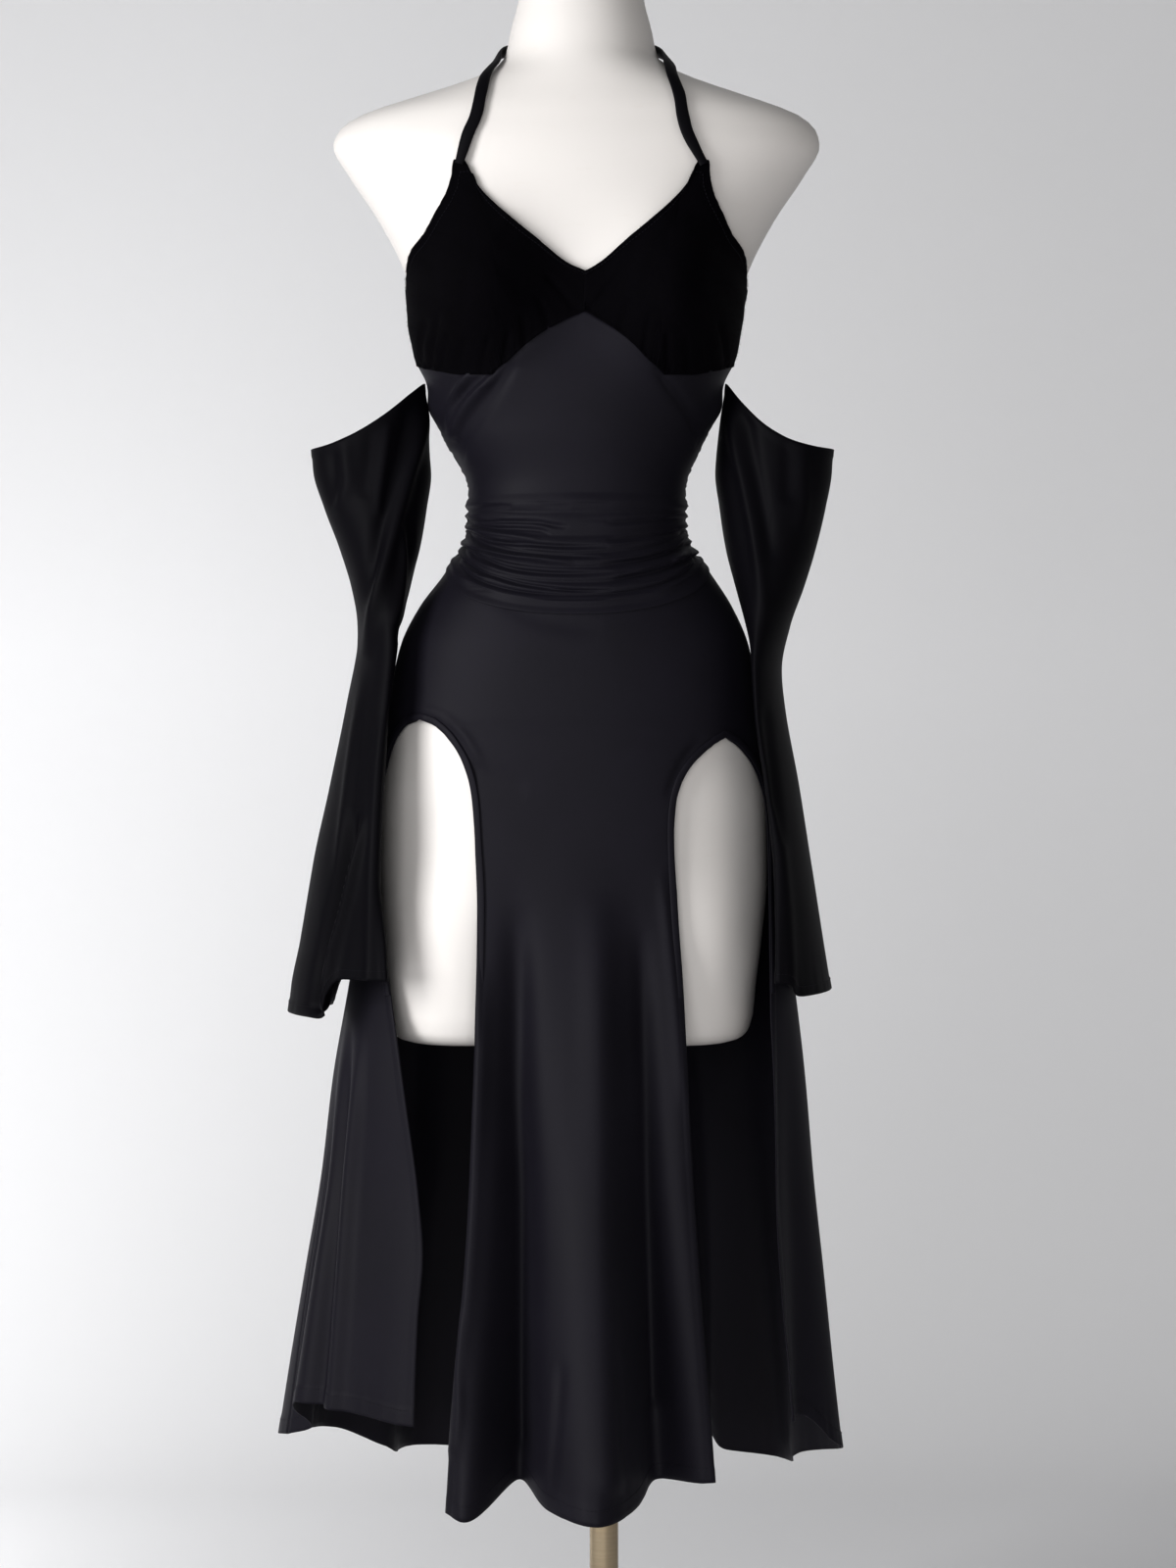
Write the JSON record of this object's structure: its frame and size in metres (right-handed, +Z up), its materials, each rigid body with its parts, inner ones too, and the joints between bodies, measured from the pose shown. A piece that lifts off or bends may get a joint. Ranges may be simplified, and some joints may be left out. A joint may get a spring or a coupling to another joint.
{
  "type": "halter dress on a dress form",
  "caption": "Long black halter dress with loose bell sleeves and arched thigh slits, worn by a limbless dress form that stands on a pole and a round base.",
  "frame": {"origin": "centre of the base plate's underside, on the pole's axis", "axes": "+Z up along the pole, +X to the viewer's right, +Y away from the viewer, towards the back of the dress"},
  "size_m": [0.475, 0.4596, 1.545],
  "materials": {
    "jersey": "fine stretch jersey, black with a faint cool tone, soft satin sheen",
    "cup_cloth": "black stretch velvet with a short nap",
    "form_paint": "warm white satin paint",
    "stand_brass": "brushed pale brass"
  },
  "bodies": {
    "root": {"stand_base": "stand_brass", "stand_pole": "stand_brass", "form_body": "form_paint", "cup_left": "cup_cloth", "cup_right": "cup_cloth", "midriff_front": "jersey", "bodice_back": "jersey", "skirt_front": "jersey", "skirt_back": "jersey", "slit_edging_left": "jersey", "slit_edging_right": "jersey", "sleeve_left": "jersey", "sleeve_right": "jersey", "halter_strap": "jersey"}
  },
  "joints": []
}
